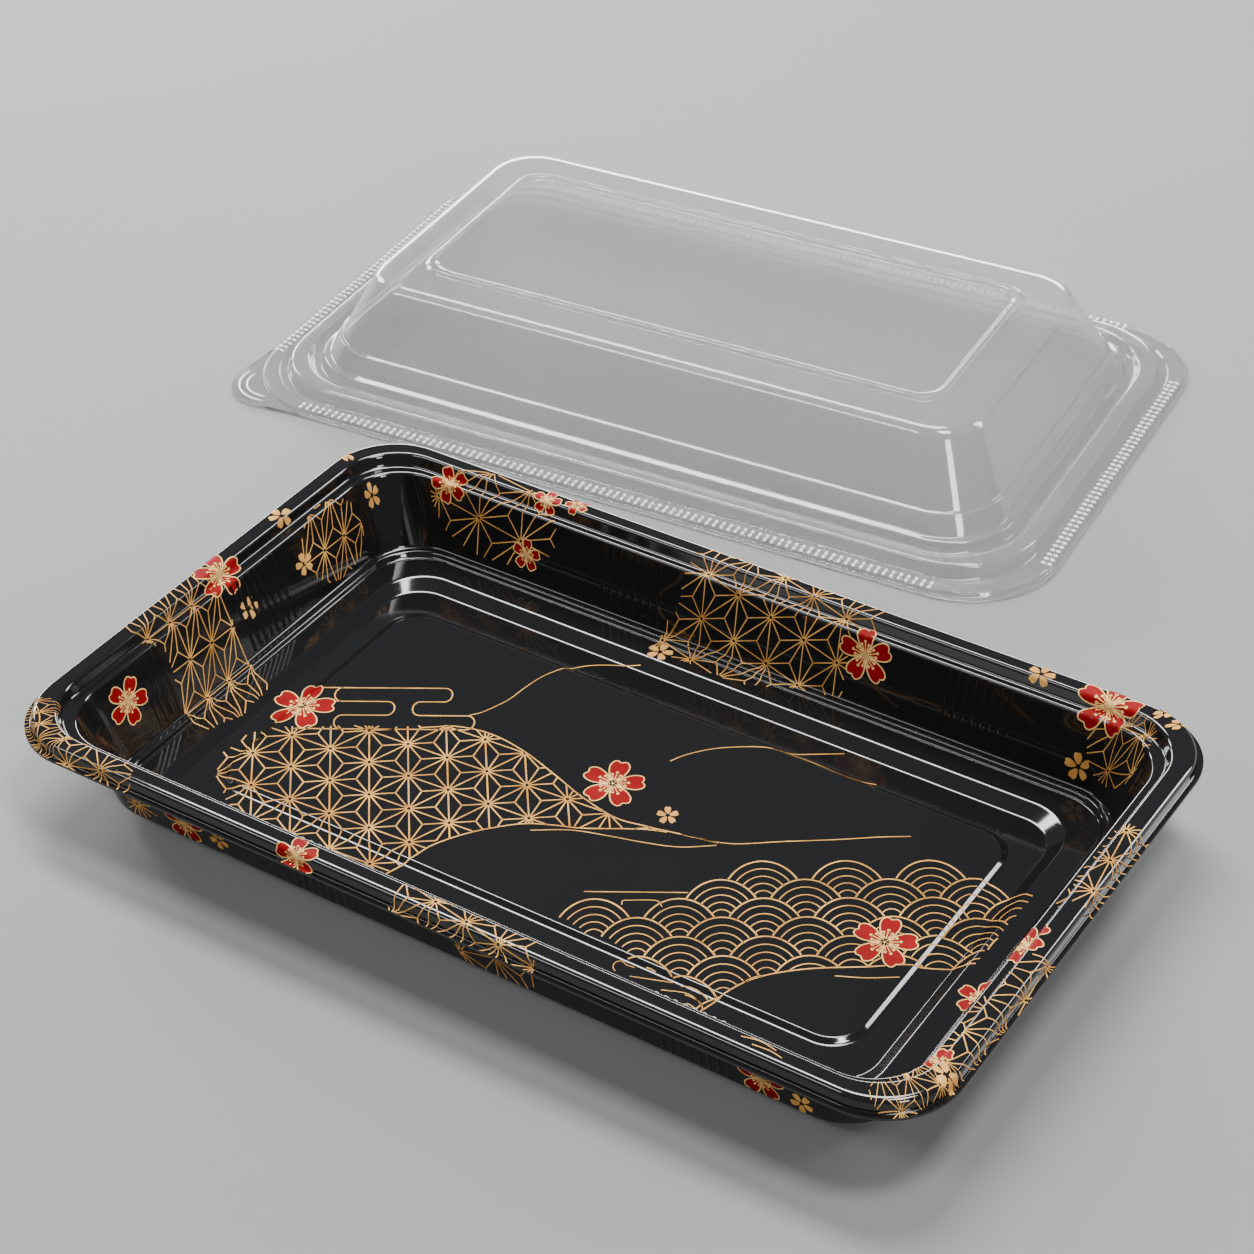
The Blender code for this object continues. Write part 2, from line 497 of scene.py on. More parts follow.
def ridgeMesh(values, tab):
    # curved ridges that follow the thumb tab's edge and get thinner towards their ends
    middleX, middleY = (-0.5 * span + tab["inset"] for span in (trayLength, trayWidth))
    sides, steps, least = values["sides"], values["steps"], values["endShare"]
    vertices, faces = [], []
    for reach in values["reaches"]:
        faces += stackFaces(steps + 1, sides, len(vertices))
        for step in range(steps + 1):
            angle = values["start"] + values["swing"] * step / steps
            thick = values["thick"] * (least + (1 - least) * math.sin(math.pi * step / steps) ** 0.4)
            for side in range(sides):
                around = 2 * math.pi * side / sides
                out = reach + thick * math.cos(around)
                vertices.append((middleX + out * math.cos(angle), middleY + out * math.sin(angle),
                                 values["height"] + thick * math.sin(around)))
    return solidMesh("tabRidges", vertices, faces)


# the tab ridges take the beads' whitish painted highlight colour
addPiece("tabRidges", ridgeMesh(ridgeValues, lidValues["tab"]), beadPaintedGlintSheet, lidPlace, "lid")
print("lid made:", len(lidMesh.polygons), "faces")


# Geometry Nodes rows
def rowTree(name, makeItem, material, **more):
    # a line of points with the same item on each
    kinds = {"Start": "Vector", "Step": "Vector", "Count": "Int", "Radius": "Float",
             "Lean": "Vector", "Shape": "Vector", **more}
    tree = bpy.data.node_groups.new(name, "GeometryNodeTree")
    for label, kind in kinds.items():
        tree.interface.new_socket(label, in_out="INPUT", socket_type="NodeSocket" + kind)
    tree.interface.new_socket("Geometry", in_out="OUTPUT", socket_type="NodeSocketGeometry")
    sheet = NodeSheet(tree)
    given = {label: sheet.make("NodeGroupInput", output=label) for label in kinds}
    points = sheet.make("GeometryNodeMeshLine", {"mode": "OFFSET"}, {
        "Count": given["Count"], "Start Location": given["Start"], "Offset": given["Step"]})
    spread = sheet.make("GeometryNodeInstanceOnPoints", None, {
        "Points": points, "Instance": makeItem(sheet, given), "Rotation": given["Lean"],
        "Scale": given["Shape"]})
    solid = sheet.make("GeometryNodeRealizeInstances", None, {0: spread})
    painted = sheet.make("GeometryNodeSetMaterial", None, {"Geometry": solid, "Material": material})
    sheet.make("NodeGroupOutput", None, {0: painted})
    return tree


def runTree(name, tree, values):
    # evaluates the tree once and returns the result as a plain mesh
    holder = makeObject(name + "Holder", bpy.data.meshes.new(name + "Holder"))
    modifier = holder.modifiers.new(name, "NODES")
    modifier.node_group = tree
    for item in tree.interface.items_tree:
        if item.in_out == "INPUT" and item.name in values:
            modifier[item.identifier] = values[item.name]
    evaluated = holder.evaluated_get(bpy.context.evaluated_depsgraph_get())
    mesh = bpy.data.meshes.new_from_object(evaluated)
    holder.modifiers.clear()
    bpy.data.objects.remove(holder)
    return mesh


def joinMeshes(name, meshes):
    joined = bmesh.new()
    for mesh in meshes:
        joined.from_mesh(mesh)
    result = bpy.data.meshes.new(name)
    joined.to_mesh(result)
    joined.free()
    result.shade_smooth()
    result.set_sharp_from_angle(angle=math.radians(60.0))
    return result


def swapped(vector, alongX):
    # a vector written for a row along X, turned for a row along Y where alongX is false
    return vector if alongX else (vector[1], vector[0], vector[2])


beadValues = {
    "pitch": 2.1 * mm,
    "radius": 0.46 * mm,
    "stretch": 1.7,  # each bead is drawn out across the flange
    "flatness": 0.9,
    "height": 1.55 * mm,
    "rows": (2.3 * mm, 4.0 * mm),  # insets from the flange's edge
    "cornerGap": 25.0 * mm,
}


def beadItem(sheet, given):
    return sheet.make("GeometryNodeMeshUVSphere", None,
                      {"Segments": 8, "Rings": 5, "Radius": given["Radius"]})


def makeBeads(values):
    tree = rowTree("beadRow", beadItem, beadPaintedGlintSheet)
    rows = []
    for inset in values["rows"]:
        for side in (-1, 1):
            for alongX, span, across in ((True, trayLength, trayWidth), (False, trayWidth, trayLength)):
                reach = 0.5 * span - values["cornerGap"]
                start = (-reach, side * (0.5 * across - inset), values["height"])
                rows.append(runTree("beadRow", tree, {
                    "Start": swapped(start, alongX), "Step": swapped((values["pitch"], 0.0, 0.0), alongX),
                    "Count": int(2 * reach / values["pitch"]) + 1, "Radius": values["radius"],
                    "Shape": swapped((1.0, values["stretch"], values["flatness"]), alongX)}))
    return joinMeshes("lidBeads", rows)


lidBeads = addPiece("lidBeads", makeBeads(beadValues), beadPaintedGlintSheet, lidPlace, "lid")
print("beads made:", len(lidBeads.data.polygons), "faces")


ribValues = {
    "pitch": 2.3 * mm,
    "radius": 0.8 * mm,
    "flatness": 0.56,  # depth of a rib as a share of its width
    "length": 18.3 * mm,
    "longGroups": ((-34.0 * mm, 8), (62.0 * mm, 8)),  # a group's middle and its number of ribs
    "shortGroups": ((-31.0 * mm, 4), (9.0 * mm, 8)),
}


def ribItem(sheet, given):
    return sheet.make("GeometryNodeMeshCylinder", {"fill_type": "NGON"},
                      {"Vertices": 12, "Radius": given["Radius"], "Depth": given["Length"]})


def makeRibs(values):
    # the ribs lie in the sloped wall, so they stand out on both of its faces
    tree = rowTree("ribRow", ribItem, blackSheet, Length="Float")
    foot, head = traySection()[6:8]
    height = 0.5 * (foot[2] + head[2])
    rows = []
    for alongX, span, groups in ((True, trayWidth, "longGroups"), (False, trayLength, "shortGroups")):
        axis = 1 if alongX else 0
        reach = 0.5 * span - 0.5 * (foot[axis] + head[axis]) + 0.5 * trayValues["sheet"]
        lean = math.atan2(foot[axis] - head[axis], head[2] - foot[2])
        for side in (-1, 1):
            for middle, count in values[groups]:
                start = (middle - 0.5 * (count - 1) * values["pitch"], side * reach, height)
                rows.append(runTree("ribRow", tree, {
                    "Start": swapped(start, alongX), "Step": swapped((values["pitch"], 0.0, 0.0), alongX),
                    "Count": count, "Radius": values["radius"], "Length": values["length"],
                    "Shape": swapped((1.0, values["flatness"], 1.0), alongX),
                    "Lean": (-side * lean, 0.0, 0.0) if alongX else (0.0, side * lean, 0.0)}))
    return joinMeshes("trayRibs", rows)


trayRibs = addPiece("trayRibs", makeRibs(ribValues), blackSheet, trayPlace, "tray")
print("ribs made:", len(trayRibs.data.polygons), "faces")


# printed sheet: drawings are laid on the flat sheet and carried onto the formed tray
trayRun = -0.5 * np.diff(trayRows[:, 0] + trayRows[:, 1])
trayStretch = np.concatenate([[0.0], np.cumsum(np.hypot(trayRun, np.diff(trayRows[:, 2])) - trayRun)])


def cornerCentres(rows):
    # how far the corners' centres lie from the middle, along X and along Y
    return 0.5 * trayLength - rows[:, 0] - rows[:, 3], 0.5 * trayWidth - rows[:, 1] - rows[:, 3]


def sheetToTray(spots, under, lift):
    # each spot finds the two rows that it lies between on the flat sheet, and then its place on them
    spots = np.asarray(spots, float)
    signs = np.where(spots < 0, -1.0, 1.0)
    spread = np.abs(spots)
    halfX, halfY = cornerCentres(trayRows)
    overX = spread[:, 0:1] - halfX
    overY = spread[:, 1:2] - halfY
    outside = (np.hypot(np.maximum(overX, 0), np.maximum(overY, 0))
               + np.minimum(np.maximum(overX, overY), 0) - (trayRows[:, 3] + trayStretch))
    within = outside <= 0
    upper = np.where(within.any(1), np.argmax(within, axis=1), len(trayRows) - 1)
    flat = upper == 0
    upper = np.maximum(upper, 1)
    line = np.arange(len(spots))
    far = outside[line, upper]
    near = outside[line, upper - 1]
    share = np.clip(near / np.where(near - far == 0, 1.0, near - far), 0.0, 1.0)[:, None]
    rows = trayUnder if under else trayRows

    def onLoop(index):
        loop = rows[index]
        centreX, centreY = cornerCentres(loop)
        flatX, flatY = cornerCentres(trayRows[index])
        awayX = spread[:, 0] - flatX
        awayY = spread[:, 1] - flatY
        reach = np.hypot(np.maximum(awayX, 0), np.maximum(awayY, 0))
        curved = reach > 0
        safe = np.where(curved, reach, 1)
        acrossX = np.where(curved, np.maximum(awayX, 0) / safe, awayX >= awayY)
        acrossY = np.where(curved, np.maximum(awayY, 0) / safe, awayY > awayX)
        x = np.where(acrossX > 0, centreX + loop[:, 3] * acrossX, spread[:, 0])
        y = np.where(acrossY > 0, centreY + loop[:, 3] * acrossY, spread[:, 1])
        return np.stack([x, y, loop[:, 2]], -1), np.stack([acrossX, acrossY], -1)

    inner = onLoop(upper - 1)[0]
    outer, direction = onLoop(upper)
    points = inner * (1 - share) + outer * share
    points[flat] = np.column_stack([spread[flat], np.full(flat.sum(), rows[0, 2])])
    step = trayRows[upper] - trayRows[upper - 1]
    run = -0.5 * (step[:, 0] + step[:, 1])
    rise = step[:, 2]
    size = np.hypot(run, rise)
    normals = np.column_stack([-(rise / size)[:, None] * direction, run / size])
    normals[flat] = (0.0, 0.0, 1.0)
    points += normals * (-lift if under else lift)
    points[:, :2] *= signs
    return points


def heading(angle):
    return np.array((math.cos(angle), math.sin(angle)))


def unit(vectors):
    return vectors / np.maximum(np.linalg.norm(vectors, axis=1)[:, None], 1e-9)


def resample(path, step, closed=False):
    # the path again, with points at even distances of at most one step
    path = np.asarray(path, float)
    if closed:
        path = np.vstack([path, path[:1]])
    lengths = np.linalg.norm(np.diff(path, axis=0), axis=1)
    places = np.concatenate([[0.0], np.cumsum(lengths)])
    if places[-1] < 0.05 * mm:
        return path[:0]
    count = max(2, int(math.ceil(places[-1] / step)) + 1)
    wanted = np.linspace(0.0, places[-1], count)
    result = np.column_stack([np.interp(wanted, places, path[:, axis]) for axis in (0, 1)])
    return result[:-1] if closed else result


class Ink:
    # one colour of the print, as a thin skin of faces on the sheet
    def __init__(self, name, material, lift, under):
        self.name = name
        self.material = material
        self.lift = lift
        self.under = under
        self.spots = []
        self.faces = []

    def ribbon(self, path, width, closed=False):
        path = resample(path, 0.7 * mm, closed)
        if len(path) < 2:
            return
        ahead = np.roll(path, -1, axis=0) - path
        behind = path - np.roll(path, 1, axis=0)
        if not closed:
            ahead[-1] = behind[-1]
            behind[0] = ahead[0]
        along = unit(unit(ahead) + unit(behind))
        square = np.column_stack([-along[:, 1], along[:, 0]]) * 0.5 * width
        start = len(self.spots)
        for left, right in zip(path + square, path - square):
            self.spots += [left, right]
        count = len(path)
        for index in range(count if closed else count - 1):
            one = start + 2 * index
            two = start + 2 * ((index + 1) % count)
            self.faces.append((one, one + 1, two + 1, two))

    def fan(self, middle, outline, rings=4):
        # a filled closed outline, with rings so that it bends over the tray's steps
        start = len(self.spots)
        middle = np.array(middle)
        count = len(outline)
        self.spots.append(middle)
        for ring in range(1, rings + 1):
            self.spots += [middle + (np.array(point) - middle) * ring / rings for point in outline]
        for side in range(count):
            following = (side + 1) % count
            self.faces.append((start, start + 1 + side, start + 1 + following))
            for low in range(start + 1, start + 1 + (rings - 1) * count, count):
                self.faces.append((low + side, low + count + side, low + count + following,
                                   low + following))

    def lay(self):
        points = sheetToTray(np.array(self.spots), self.under, self.lift)
        faces = [face[::-1] for face in self.faces] if self.under else self.faces
        mesh = bpy.data.meshes.new(self.name)
        mesh.from_pydata(points.tolist(), [], faces)
        mesh.shade_smooth()
        return addPiece(self.name, mesh, self.material, trayPlace, "tray")


def smoothPath(points, perSpan=10):
    # a soft curve through given points
    points = [np.array(point, float) for point in points]
    padded = [2 * points[0] - points[1]] + points + [2 * points[-1] - points[-2]]
    path = []
    for before, start, end, after in zip(padded, padded[1:], padded[2:], padded[3:]):
        slope = end - before
        bend = 2 * before - 5 * start + 4 * end - after
        twist = 3 * start - before - 3 * end + after
        for step in range(perSpan):
            t = step / perSpan
            path.append(0.5 * (2 * start + slope * t + bend * t * t + twist * t ** 3))
    path.append(points[-1])
    return np.array(path)


def insideOutline(spots, outline):
    spots = np.asarray(spots)
    inside = np.zeros(len(spots), bool)
    count = len(outline)
    for index in range(count):
        x1, y1 = outline[index]
        x2, y2 = outline[(index + 1) % count]
        crosses = (y1 > spots[:, 1]) != (y2 > spots[:, 1])
        edge = x1 + (spots[:, 1] - y1) * (x2 - x1) / ((y2 - y1) if y2 != y1 else 1e-12)
        inside ^= crosses & (spots[:, 0] < edge)
    return inside


def keptRuns(spots, kept, least=2):
    # the unbroken stretches of the spots that are kept
    runs, run = [], []
    for spot, keep in zip(spots, kept):
        if keep:
            run.append(spot)
            continue
        if len(run) >= least:
            runs.append(run)
        run = []
    if len(run) > 1:
        runs.append(run)
    return runs


def clippedRibbons(ink, paths, width, outline):
    # draws only the stretches of the paths that lie inside the outline
    outline = np.asarray(outline)
    low, high = outline.min(0) - 2 * mm, outline.max(0) + 2 * mm
    near = []
    for path in paths:
        path = np.asarray(path)
        if (path.max(0) > low).all() and (path.min(0) < high).all():
            path = resample(path, 0.5 * mm)
            if len(path) > 1:
                near.append(path)
    if not near:
        return
    inside = insideOutline(np.vstack(near), outline)
    start = 0
    for path in near:
        for run in keptRuns(path, inside[start:start + len(path)], 3):
            ink.ribbon(run, width)
        start += len(path)


def leafLattice(ink, outline, middle, leaf, width, hub=0.4 * mm):
    # hemp leaf lattice: a triangle grid, with each triangle's middle joined to its corners
    outline = np.asarray(outline)
    middle, across, along = (np.array(vector, float) * mm for vector in (middle, *leaf))
    reach = np.linalg.norm(outline - middle, axis=1).max()
    columns = int(reach / np.linalg.norm(across)) + 3
    places = int(reach / np.linalg.norm(along)) + columns + 3
    paths = []

    def stroke(start, end, startGap, endGap):
        towards = (end - start) / np.linalg.norm(end - start)
        paths.append((start + startGap * towards, end - endGap * towards))

    for column in range(-columns, columns + 1):
        for place in range(-places, places + 1):
            corner = middle + across * column + along * (place + 0.5 * (column % 2))
            right = corner + across + 0.5 * along
            lower = corner + across - 0.5 * along
            above = corner + along
            for end in (right, lower, above):
                stroke(corner, end, hub, hub)
            for others in ((right, above), (right, lower)):
                centre = (corner + others[0] + others[1]) / 3
                for end in (corner, *others):
                    stroke(centre, end, 0.0, hub)
    clippedRibbons(ink, paths, width, outline)


class Spread:
    # carries a drawing of its own onto the sheet: moved, turned and stretched
    def __init__(self, middle, turn=0.0, stretch=1.0):
        self.middle = np.array(middle, float) * mm
        self.level = heading(turn)
        self.upright = np.array((-self.level[1], self.level[0])) * stretch

    def put(self, spots):
        return [self.middle + spot[0] * self.level + spot[1] * self.upright for spot in spots]


# the base's drawing runs slantwise, and its upright is drawn out
# a leaf is the lattice's two steps, from one corner to the next across and along
printValues = {
    "line": 0.36 * mm,
    "lift": 0.05 * mm,
    "turn": math.radians(31.0),
    "stretch": 1.5,
    "baseLeaf": ((7.34, 5.54), (-7.09, 9.52)),
    "farLeaf": ((9.45, 3.3), (0.0, 11.8)),
    "leftLeaf": ((-5.7, 8.0), (11.8, 0.0)),
    "rightLeaf": ((4.0, 8.6), (10.5, -4.0)),
    "waveTurn": math.radians(32.3),
    "waveRadius": 9.4 * mm,
    "waveRow": 0.44,  # from row to row, as a share of the radius
    "waveRings": (1.0, 0.82, 0.64, 0.47, 0.3),
    "mistStart": (-80.0, -15.0),
    "mistBar": 3.55 * mm,
    # line widths, as shares of the line
    "waveOuter": 1.1,
    "waveInner": 0.8,
    "inlet": 0.7,
    "scrap": 0.65,
    "thin": 0.75,
    "wall": 0.76,
    "outer": 0.85,
}


def waveField(ink, crowns, outline, middle, values):
    # overlapping wave scales: each hides the rows behind it, and its crown lies inside crowns
    radius, rowStep = values["waveRadius"], values["waveRow"]
    spread = Spread(middle, values["waveTurn"], values["stretch"])
    steps = int(np.linalg.norm(outline - spread.middle, axis=1).max() / radius) + 2
    halfRing = np.array([heading(angle) for angle in np.linspace(0.0, math.pi, 37)])
    fronts = [radius * np.array((shift, -rowStep * front))
              for front in (1, 2, 3) for shift in (-2, -1, 0, 1, 2) if (front + shift) % 2 == 0]
    outerRings, innerRings = [], []
    for row in range(-2 * steps, 2 * steps + 1):
        for column in range(-steps, steps + 1):
            centre = np.array((2 * column + (row % 2), rowStep * row)) * radius
            if not insideOutline(spread.put([centre + (0.0, radius)]), crowns)[0]:
                continue
            for share in values["waveRings"]:
                ring = centre + share * radius * halfRing
                shown = np.ones(len(ring), bool)
                for front in fronts:
                    shown &= np.hypot(*(ring - (centre + front)).T) >= radius * 0.99
                paths = outerRings if share == 1.0 else innerRings
                paths += keptRuns(spread.put(ring), shown)
    clippedRibbons(ink, outerRings, values["waveOuter"] * values["line"], outline)
    clippedRibbons(ink, innerRings, values["waveInner"] * values["line"], outline)


# shares of the blossom's radius
petalValues = {
    "breadth": 0.285,
    "swell": 0.36,  # how much broader the outer end is
    "notchWidth": 0.26,
    "redNotch": 0.13,
    "goldNotch": 0.1,
    "goldShrink": 0.9,
    "stamenTurns": (-0.34, 0.0, 0.34),
    "stamen": 0.46,
    "stamenWidth": 0.03,
    "dot": 0.05,
    "heart": 0.12,
}


def petalOutline(reach, turn, notch, steps=22):
    # one petal, broad at its outer end, with a notch in its tip; the blossom's middle is the origin
    breadth, swell, notchWidth = (petalValues[name] for name in ("breadth", "swell", "notchWidth"))
    level = heading(turn)
    upright = np.array((-level[1], level[0]))
    outline = []
    for step in range(steps):
        swing = -math.pi + 2 * math.pi * step / steps
        along = 0.55 + 0.45 * math.cos(swing) - notch * math.exp(-(swing / notchWidth) ** 2)
        across = breadth * math.sin(swing) * (1.0 + swell * math.cos(swing))
        outline.append(reach * (along * level + across * upright))
    return outline


def roundSpots(middle, radius, sides):
    return [np.array(middle) + radius * heading(2 * math.pi * side / sides) for side in range(sides)]


def redBlossom(inks, spread, radius, turn):
    radius = radius * mm
    red, pale = inks["red"], inks["pale"]
    for petal in range(5):
        angle = turn + 2 * math.pi * petal / 5
        outline = spread.put(petalOutline(radius, angle, petalValues["redNotch"]))
        red.fan(spread.put([0.58 * radius * heading(angle)])[0], outline)
        pale.ribbon(outline, 0.02 * radius + 0.16 * mm, True)
        for side in petalValues["stamenTurns"]:
            tip = (petalValues["stamen"] - 0.25 * abs(side)) * radius * heading(angle + side)
            pale.ribbon(spread.put([0.1 * tip, tip]), petalValues["stamenWidth"] * radius)
            pale.fan(spread.put([tip])[0], spread.put(roundSpots(tip, petalValues["dot"] * radius, 8)), 1)
    pale.fan(spread.middle, spread.put(roundSpots((0.0, 0.0), petalValues["heart"] * radius, 12)), 1)


def goldBlossom(inks, spread, radius, turn):
    radius = radius * mm
    for petal in range(5):
        angle = turn + 2 * math.pi * petal / 5
        heart = 0.6 * radius * heading(angle)
        outline = [heart + petalValues["goldShrink"] * (spot - heart)
                   for spot in petalOutline(radius, angle, petalValues["goldNotch"], 16)]
        inks["light"].fan(spread.put([heart])[0], spread.put(outline), 3)


def putBlossoms(draw, inks, places, turn=0.0, stretch=1.0):
    # each place: X, Y, radius and the first petal's angle
    for x, y, radius, start in places:
        draw(inks, Spread((x, y), turn, stretch), radius, start)


def starSpray(ink, middle, radius, rays, turn, width):
    middle = np.array(middle) * mm
    for ray in range(rays):
        reach = radius * mm * (1.0 if ray % 2 == 0 else 0.72)
        towards = heading(turn + 2 * math.pi * ray / rays)
        ink.ribbon([middle + 0.1 * reach * towards, middle + reach * towards], width)


def ovalOutline(middle, radiusX, radiusY, steps=40):
    return [np.array(middle) + (radiusX, radiusY) * heading(2 * math.pi * step / steps)
            for step in range(steps)]


def mistBars(ink, values, width):
    # rounded bars of mist in steps of one bar's height
    bar = values["mistBar"]
    spread = Spread(values["mistStart"], values["turn"], values["stretch"])

    def roundEnd(level, upright, first, last):
        middle = np.array((level * mm, (upright + 0.5) * bar))
        return [middle + 0.5 * bar * heading(math.radians(angle)) for angle in np.linspace(first, last, 15)]

    lines = [
        [(0.0, 0.0)] + roundEnd(41.2, 0, -90, 90) + roundEnd(29.4, 1, -90, -270)
        + roundEnd(35.1, 2, -90, 90) + [(4.8 * mm, 3 * bar)],
        roundEnd(10.0, 2, 90, 270) + roundEnd(21.5, 1, 90, -90) + roundEnd(10.9, 0, 90, 270),
        [(6.8 * mm, 2 * bar), (10.0 * mm, 2 * bar)],
    ]
    for line in lines:
        ink.ribbon(spread.put(line), width)


def softLines(ink, width, paths):
    for points in paths:
        ink.ribbon(smoothPath(points) * mm, width)


def printBase(inks, values):
    gold, line, turn = inks["gold"], values["line"], values["turn"]

    # hemp leaf field at the left
    upperEdge = smoothPath([
        (-89, -21), (-85, -17.5), (-73, -9.3), (-61, -2), (-50, 4.8), (-43, 7.5), (-36, 8), (-27, 6.5),
        (-16, 3), (-7, 0), (3, -2), (10, -1), (19, 1), (28, 3)])
    lowerEdge = smoothPath([
        (16, 0), (10, -2.5), (-1, -9), (-7, -11.5), (-13, -14.5), (-18, -19), (-23, -25), (-27, -32),
        (-28.5, -38), (-31, -46)])
    field = np.vstack([upperEdge, lowerEdge, [(-38, -48), (-60, -48), (-77, -45), (-86, -38), (-90, -31)]])
    leafLattice(gold, field * mm, (-39.2, -24.5), values["baseLeaf"], line)
    gold.ribbon(upperEdge[40:] * mm, line)
    gold.ribbon(lowerEdge * mm, line)

    # wave field at the right
    lowerWave = [(97, -2.5), (90, -6.5), (83, -10), (77, -14.5), (65, -23), (57, -32), (53, -44), (52, -48)]
    crowns = np.array([
        (12, -33), (13, -24), (24, -22), (28, -14), (31, -4), (37, 7), (54, 18), (70, 28), (80, 27),
        (99, 28), (104, 8), (102, -30), (64, -66), (34, -46), (30, -40), (28, -33)])
    upperWave = [(44, -40), (8, -40), (8, -15), (30, 20), (60, 45), (99, 45)]
    outline = np.vstack([upperWave, smoothPath(lowerWave)])
    waveField(gold, crowns * mm, outline * mm, (63.0, 0.9), values)
    softLines(gold, line, [lowerWave])
    softLines(gold, values["inlet"] * line, [[(72, -21), (78, -18), (84, -14)]])
    softLines(gold, values["scrap"] * line, [
        [(33.5, -41.2), (31.5, -41.4), (30, -40.9), (29, -42), (29.4, -43.6), (30.5, -44.3)],
        [(34, -44), (38.5, -42.4), (43, -40.8)],
        [(42, -44), (47.5, -42), (51.5, -43.2), (53, -44.6)],
        [(20.6, -26.2), (20, -25), (21, -24.2), (26.3, -21), (28.5, -22)],
        [(77, -86.4), (81, -85.6), (85, -86.2)],
        [(80, -87.2), (84, -86.9), (87, -87.4)]])

    # mist, hills and streams
    mistBars(gold, values, line)
    softLines(gold, values["thin"] * line, [
        [(-47.3, 11.2), (-45.5, 13.5), (-44, 17), (-42.6, 21.5), (-42, 27), (-41, 32.5), (-39.4, 36.5),
         (-37, 40.5), (-34, 43.8), (-30, 46.5), (-23, 50)],
        [(3, 22), (5, 26), (9, 31), (14, 35), (19, 38), (25, 40), (30, 43), (36, 47)],
        [(23, 39.5), (32, 40), (41, 39), (48, 41)],
        [(-11, -16), (-3, -11), (6, -8), (13, -6), (21, -3), (28, 2)],
        [(19, 1), (30, 4), (40, 11), (50, 18), (58, 24), (64, 28)],
        [(11, -27), (21, -21), (31, -15)]])
    putBlossoms(redBlossom, inks, [(-84, -7, 8.4, 0.0), (-4, 8, 7.9, 0.05), (76, -6, 7.7, 0.02)], turn, 1.1)
    putBlossoms(goldBlossom, inks, [(13, 5, 2.8, 0.5 * math.pi)], turn, 1.2)


def printWalls(inks, values):
    # patches of the lattice on the inner walls and the rim: outline, middle and leaf
    far, left, right = values["farLeaf"], values["leftLeaf"], values["rightLeaf"]
    patches = [
        ([(-24, 56), (-23, 65), (-20, 70), (-19, 84), (-15, 91), (12, 91), (33, 90), (34, 82), (28, 78),
          (27, 62), (14, 60), (2, 55)], (-13.1, 69.2), far),
        (ovalOutline((-76, 76), 20, 12), (-80, 74), ((13.0, 5.0), (0.0, 14.0))),
        ([(-141, -30), (-141, 0), (-129, 0), (-124, -2), (-103, -3), (-95, -6), (-94, -18), (-97, -28),
          (-104, -27), (-122, -25), (-130, -30)], (-116, -11), left),
        (ovalOutline((-117, 38), 11, 12), (-116, 42), left),
        ([(-140, -66), (-126, -66), (-118, -80), (-82, -82), (-78, -94), (-112, -96), (-134, -86)],
         (-104, -86), ((8.0, -2.0), (3.0, 9.0))),
        ([(-8, -95), (-7, -84), (28, -84), (30, -95)], (11, -88), ((8.6, 3.0), (-1.0, 9.5))),
        ([(127, 2), (127, 31), (141, 31), (141, 2)], (134, 18), right),
        ([(140, -14), (130, -18), (119, -60), (112, -86), (126, -90), (139, -60)], (131, -44), right),
        (ovalOutline((103, 74), 13, 11), (99, 68), ((11.0, 4.0), (0.0, 12.0))),
    ]
    for outline, middle, leaf in patches:
        leafLattice(inks["gold"], np.array(outline) * mm, middle, leaf, values["wall"] * values["line"])
    putBlossoms(redBlossom, inks, [
        (-65, 69, 4.4, 0.3), (-90, 80, 5.6, 0.8), (32, 75, 7.4, 0.45), (93, 84, 8.6, 0.3),
        (-130, 1, 7.4, 0.2), (-118, -41, 6.6, 0.0), (-33, -90, 5.6, 0.6), (128, -12, 6.4, 0.8),
        (103, -12, 5.6, 0.4), (128, -53, 5.6, 0.3), (-62, 85, 4.2, 0.3), (-54, 87, 3.4, 0.9)])
    putBlossoms(goldBlossom, inks, [
        (89, 67, 3.8, 0.5), (119, 83, 3.8, 0.1), (110, 87, 3.6, 0.9), (75, 86, 3.6, 0.3),
        (-132, 27, 3.6, 0.4), (-119, 60, 4.2, 0.3), (-117, 26, 3.4, 0.7), (-117, 4, 3.4, 0.1),
        (-21, 56, 3.6, 0.4), (134, -60, 5.4, 0.8), (124, -68, 3.6, 0.1), (-135, 61, 4.2, 0.2)])


def printOuterWalls(inks, values):
    width = values["outer"] * values["line"]
    far, left = values["farLeaf"], values["leftLeaf"]
    for middle, radiusX, radiusY, leaf in (
            ((12, -68), 11, 8, far), ((-20, 70), 26, 9, far), ((-111, 20), 8, 22, left),
            ((111, -14), 8, 22, left)):
        outline = np.array(ovalOutline(middle, radiusX, radiusY)) * mm
        leafLattice(inks["gold"], outline, middle, leaf, width)
    starSpray(inks["gold"], (-88, -66.5), 6.0, 14, 0.2, width)
    down = -0.5 * math.pi
    putBlossoms(redBlossom, inks, [
        (-74, -67, 5.8, down), (78, -67, 5.8, down), (60, 70, 6.0, down), (-70, 70, 5.6, down),
        (-111, -24, 5.8, down), (111, 26, 5.8, down)])
    putBlossoms(goldBlossom, inks, [
        (-64, -66.5, 3.0, 0.3), (87.5, -65, 3.0, 0.3), (74, 69, 3.2, 0.3), (111, -44, 3.2, 0.3),
        (-111, 48, 3.2, 0.3)])


def makeInks(prefix, lift, under):
    # the blossoms' colours lie a little higher than the lines that they cover
    kinds = (("gold", "Gold", goldInk, 1.0), ("red", "Red", redInk, 1.6),
             ("light", "GoldBlossoms", goldInk, 1.6), ("pale", "Pale", paleInk, 2.2))
    return {key: Ink(prefix + label, material, share * lift, under)
            for key, label, material, share in kinds}


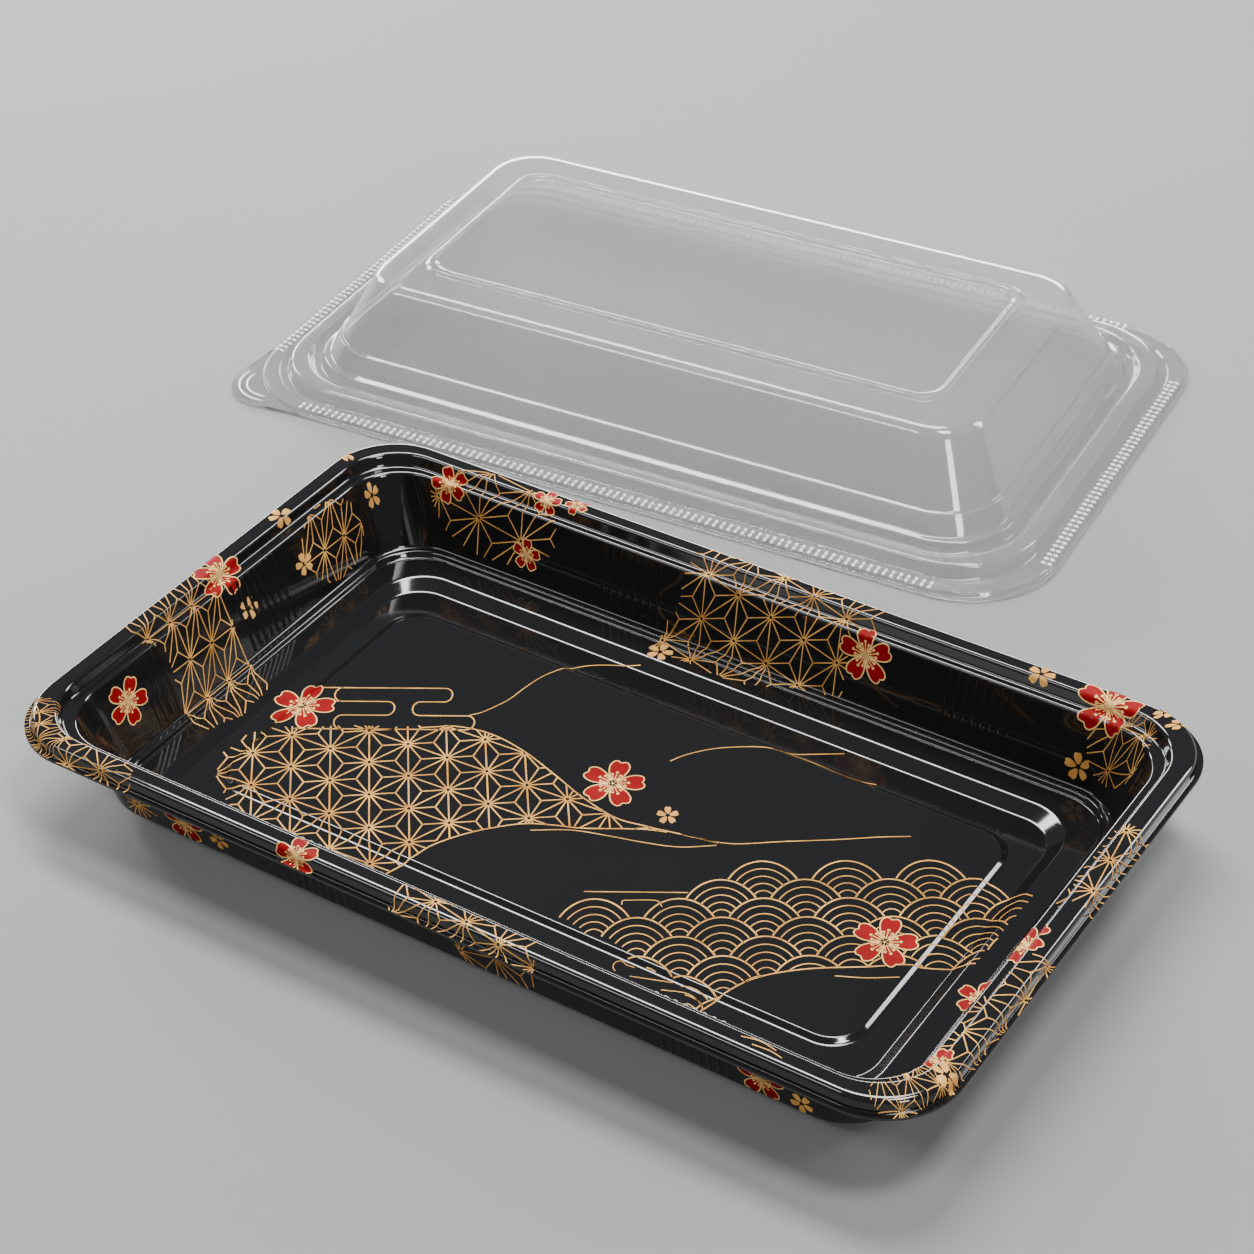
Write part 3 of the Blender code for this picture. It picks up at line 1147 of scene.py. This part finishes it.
def makePrint(values):
    inner = makeInks("print", values["lift"], False)
    printBase(inner, values)
    printWalls(inner, values)
    outer = makeInks("printOuter", values["lift"], True)
    printOuterWalls(outer, values)
    for ink in (*inner.values(), *outer.values()):
        ink.lay()


makePrint(printValues)
print("print laid")


# table and light
floorValues = {
    "reach": 4.0,  # from the middle to each side
    "drop": 0.3 * mm,  # keeps it clear of the pieces' undersides
    "dark": (0.165, 0.167, 0.167),
    "light": (0.192, 0.195, 0.195),
    "cloud": (5.0, 5.0),
    "roughness": 0.7,
    "glow": (0.34, 0.345, 0.345),  # keeps it pale far out, where the lamps no longer reach
    "glowFrom": 0.8,
    "glowTo": 2.8,
}


def paleFloor(values):
    sheet = MaterialSheet("paleFloor")
    cloud = sheet.noise(*values["cloud"])
    distance = sheet.make("ShaderNodeVectorMath", {"operation": "LENGTH"}, {0: sheet.place}, output="Value")
    far = sheet.make("ShaderNodeMapRange", {"clamp": True, "interpolation_type": "SMOOTHSTEP"},
                     {"Value": distance, "From Min": values["glowFrom"], "From Max": values["glowTo"]})
    return sheet.finish({
        "Base Color": sheet.blend(cloud, values["dark"], values["light"]), "Roughness": values["roughness"],
        "Emission Color": sheet.blend(far, (0.0, 0.0, 0.0), values["glow"]), "Emission Strength": 1.0})


def makeFloor(values):
    reach, low = values["reach"], -values["drop"]
    corners = [(-reach, -reach, low), (reach, -reach, low), (reach, reach, low), (-reach, reach, low)]
    data = bpy.data.meshes.new("floor")
    data.from_pydata(corners, [], [(0, 1, 2, 3)])
    data.materials.append(paleFloor(values))
    floor = makeObject("floor", data)


# each light: place, direction of its long side, size and power
# they stand clear of the base's mirror view, and draw a bright line on every bend
alongX, upright = (1.0, 0.0, 0.0), (0.0, 0.0, 1.0)
lightValues = {
    "topSoft": ((-0.45, 0.45, 1.40), alongX, (1.0, 0.36), 40.0),
    "backStrip": ((-1.00, 1.15, 0.36), alongX, (1.8, 0.28), 38.0),
    "rightStrip": ((0.95, 1.00, 0.60), upright, (0.8, 0.24), 14.0),
    "cornerSoft": ((0.45, -0.10, 1.30), alongX, (0.32, 0.32), 16.0),
    "rightGlint": ((1.15, -0.78, 0.62), upright, (0.4, 0.24), 9.0),
    "leftGlint": ((-1.20, 0.30, 0.50), upright, (0.4, 0.24), 9.0),
    "frontSoft": ((-0.60, -0.90, 1.00), alongX, (0.8, 0.3), 9.0),
}
worldValues = {"colour": (0.9, 0.93, 1.0), "strength": 0.2}


def softBox(name, place, along, size, power):
    # a light that faces the table's middle
    data = bpy.data.lights.new(name, "AREA")
    data.shape = "RECTANGLE"
    data.size, data.size_y = size
    data.energy = power
    back = Vector(place).normalized()
    side = (Vector(along) - Vector(along).dot(back) * back).normalized()
    makeObject(name, data).matrix_world = turnedTo(place, side, back.cross(side), back)


def makeWorld(values):
    world = bpy.data.worlds.new("studio")
    world.use_nodes = True
    background = world.node_tree.nodes["Background"]
    background.inputs["Color"].default_value = (*values["colour"], 1.0)
    background.inputs["Strength"].default_value = values["strength"]
    bpy.context.scene.world = world


makeFloor(floorValues)
for name, light in lightValues.items():
    softBox(name, *light)
makeWorld(worldValues)
print("table and light set")
